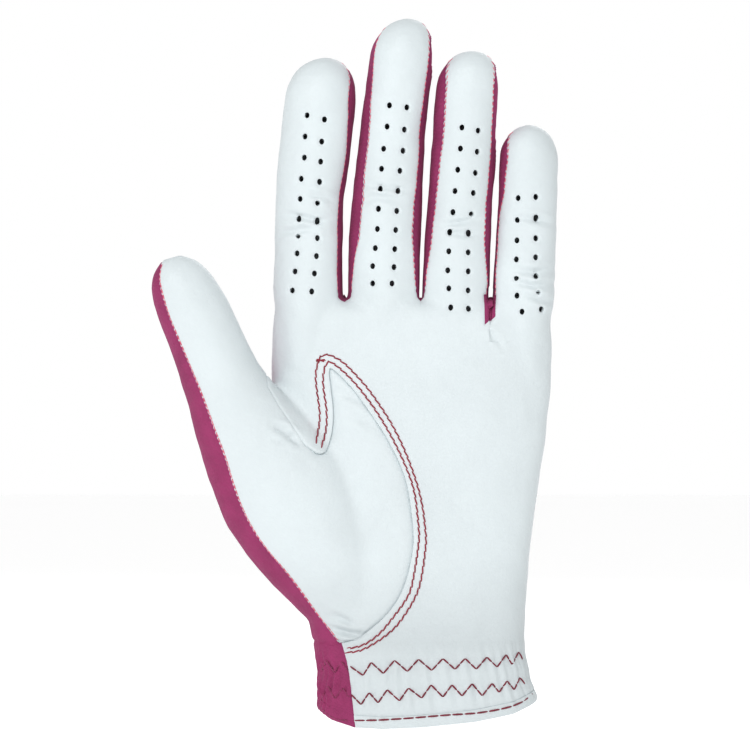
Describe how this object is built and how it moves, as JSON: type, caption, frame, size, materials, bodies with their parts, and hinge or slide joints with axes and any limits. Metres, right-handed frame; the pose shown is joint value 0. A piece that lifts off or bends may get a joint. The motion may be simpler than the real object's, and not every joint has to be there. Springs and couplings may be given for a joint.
{
  "type": "golf glove",
  "caption": "Left-hand golf glove in thin white leather with stretch strips between the fingers, a set-in thumb, a gathered cuff and a peel-open wrist closure.",
  "frame": {"origin": "middle of the cuff opening", "axes": "+Z from the cuff to the fingertips, -Y out of the palm, -X towards the thumb"},
  "size_m": [0.1176, 0.0408, 0.2047],
  "materials": {
    "white_leather": "thin soft sheepskin, matt, fine grain",
    "pink_fabric": "stretch knit, matt",
    "pink_thread": "sewing thread",
    "red_thread": "sewing thread",
    "white_elastic": "woven elastic band",
    "white_binding": "folded binding tape",
    "hook_plastic": "moulded hooks",
    "loop_pile": "looped pile"
  },
  "bodies": {
    "hand": {"palm_leather": "white_leather", "back_leather": "white_leather", "thumb_leather": "white_leather", "thumb_side_fabric": "pink_fabric", "cuff_side_fabric": "pink_fabric", "web_index_middle": "pink_fabric", "web_middle_ring": "pink_fabric", "web_ring_little": "pink_fabric", "hem_leather": "white_leather", "hem_side": "pink_fabric", "hem_back": "white_leather", "slit_binding": "white_binding", "elastic_lower": "white_elastic", "elastic_upper": "white_elastic", "thread_zigzag_lower": "red_thread", "thread_zigzag_upper": "red_thread", "thread_thumb_inner": "red_thread", "thread_thumb_outer": "red_thread", "thread_hem": "red_thread", "closure_anchor": "white_leather", "closure_loops": "loop_pile"},
    "closure": {"closure_tab": "white_leather", "closure_lining": "white_leather", "closure_hooks": "hook_plastic", "closure_thread": "pink_thread"},
    "thumb_end": {"thumb_leather_tip": "white_leather", "thumb_side_fabric_tip": "pink_fabric"},
    "index_lower": {"index_front_lower": "white_leather", "index_back_lower": "white_leather", "index_strip_outer_side_lower": "pink_fabric"},
    "index_upper": {"index_front_upper": "white_leather", "index_back_upper": "white_leather", "index_strip_outer_side_upper": "pink_fabric"},
    "middle_lower": {"middle_front_lower": "white_leather", "middle_back_lower": "white_leather", "middle_strip_thumb_side_lower": "pink_fabric", "middle_strip_outer_side_lower": "pink_fabric"},
    "middle_upper": {"middle_front_upper": "white_leather", "middle_back_upper": "white_leather", "middle_strip_thumb_side_upper": "pink_fabric", "middle_strip_outer_side_upper": "pink_fabric"},
    "ring_lower": {"ring_front_lower": "white_leather", "ring_back_lower": "white_leather", "ring_strip_thumb_side_lower": "pink_fabric", "ring_strip_outer_side_lower": "pink_fabric"},
    "ring_upper": {"ring_front_upper": "white_leather", "ring_back_upper": "white_leather", "ring_strip_thumb_side_upper": "pink_fabric", "ring_strip_outer_side_upper": "pink_fabric"},
    "little_lower": {"little_front_lower": "white_leather", "little_back_lower": "white_leather", "little_strip_thumb_side_lower": "pink_fabric"},
    "little_upper": {"little_front_upper": "white_leather", "little_back_upper": "white_leather", "little_strip_thumb_side_upper": "pink_fabric"}
  },
  "joints": [
    {"name": "index_root_bend", "type": "hinge", "parent": "hand", "child": "index_lower", "pos_m": [-0.03527, -0.003, 0.1283], "axis": [0.998, 0, -0.0634], "range_deg": [0, 75]},
    {"name": "index_knuckle_bend", "type": "hinge", "parent": "index_lower", "child": "index_upper", "pos_m": [-0.03452, -0.003, 0.14608], "axis": [0.998, 0, -0.0634], "range_deg": [0, 85]},
    {"name": "middle_root_bend", "type": "hinge", "parent": "hand", "child": "middle_lower", "pos_m": [-0.01278, -0.003, 0.1288], "axis": [0.9977, 0, -0.0683], "range_deg": [0, 75]},
    {"name": "middle_knuckle_bend", "type": "hinge", "parent": "middle_lower", "child": "middle_upper", "pos_m": [-0.01171, -0.003, 0.14918], "axis": [0.9977, 0, -0.0683], "range_deg": [0, 85]},
    {"name": "ring_root_bend", "type": "hinge", "parent": "hand", "child": "ring_lower", "pos_m": [0.00835, -0.003, 0.12852], "axis": [0.9983, 0, -0.0578], "range_deg": [0, 75]},
    {"name": "ring_knuckle_bend", "type": "hinge", "parent": "ring_lower", "child": "ring_upper", "pos_m": [0.00934, -0.003, 0.14389], "axis": [0.9983, 0, -0.0578], "range_deg": [0, 85]},
    {"name": "little_root_bend", "type": "hinge", "parent": "hand", "child": "little_lower", "pos_m": [0.02736, -0.003, 0.12179], "axis": [0.9994, 0, -0.0349], "range_deg": [0, 75]},
    {"name": "little_knuckle_bend", "type": "hinge", "parent": "little_lower", "child": "little_upper", "pos_m": [0.02812, -0.003, 0.13878], "axis": [0.9994, 0, -0.0349], "range_deg": [0, 85]},
    {"name": "thumb_bend", "type": "hinge", "parent": "hand", "child": "thumb_end", "pos_m": [-0.06192, -0.0139, 0.10485], "axis": [0.8102, 0.4202, 0.4086], "range_deg": [0, 60]},
    {"name": "closure_peel", "type": "hinge", "parent": "hand", "child": "closure", "pos_m": [-0.009, 0.02002, 0.018], "axis": [0, -0.0582, 0.9983], "range_deg": [0, 140]}
  ]
}
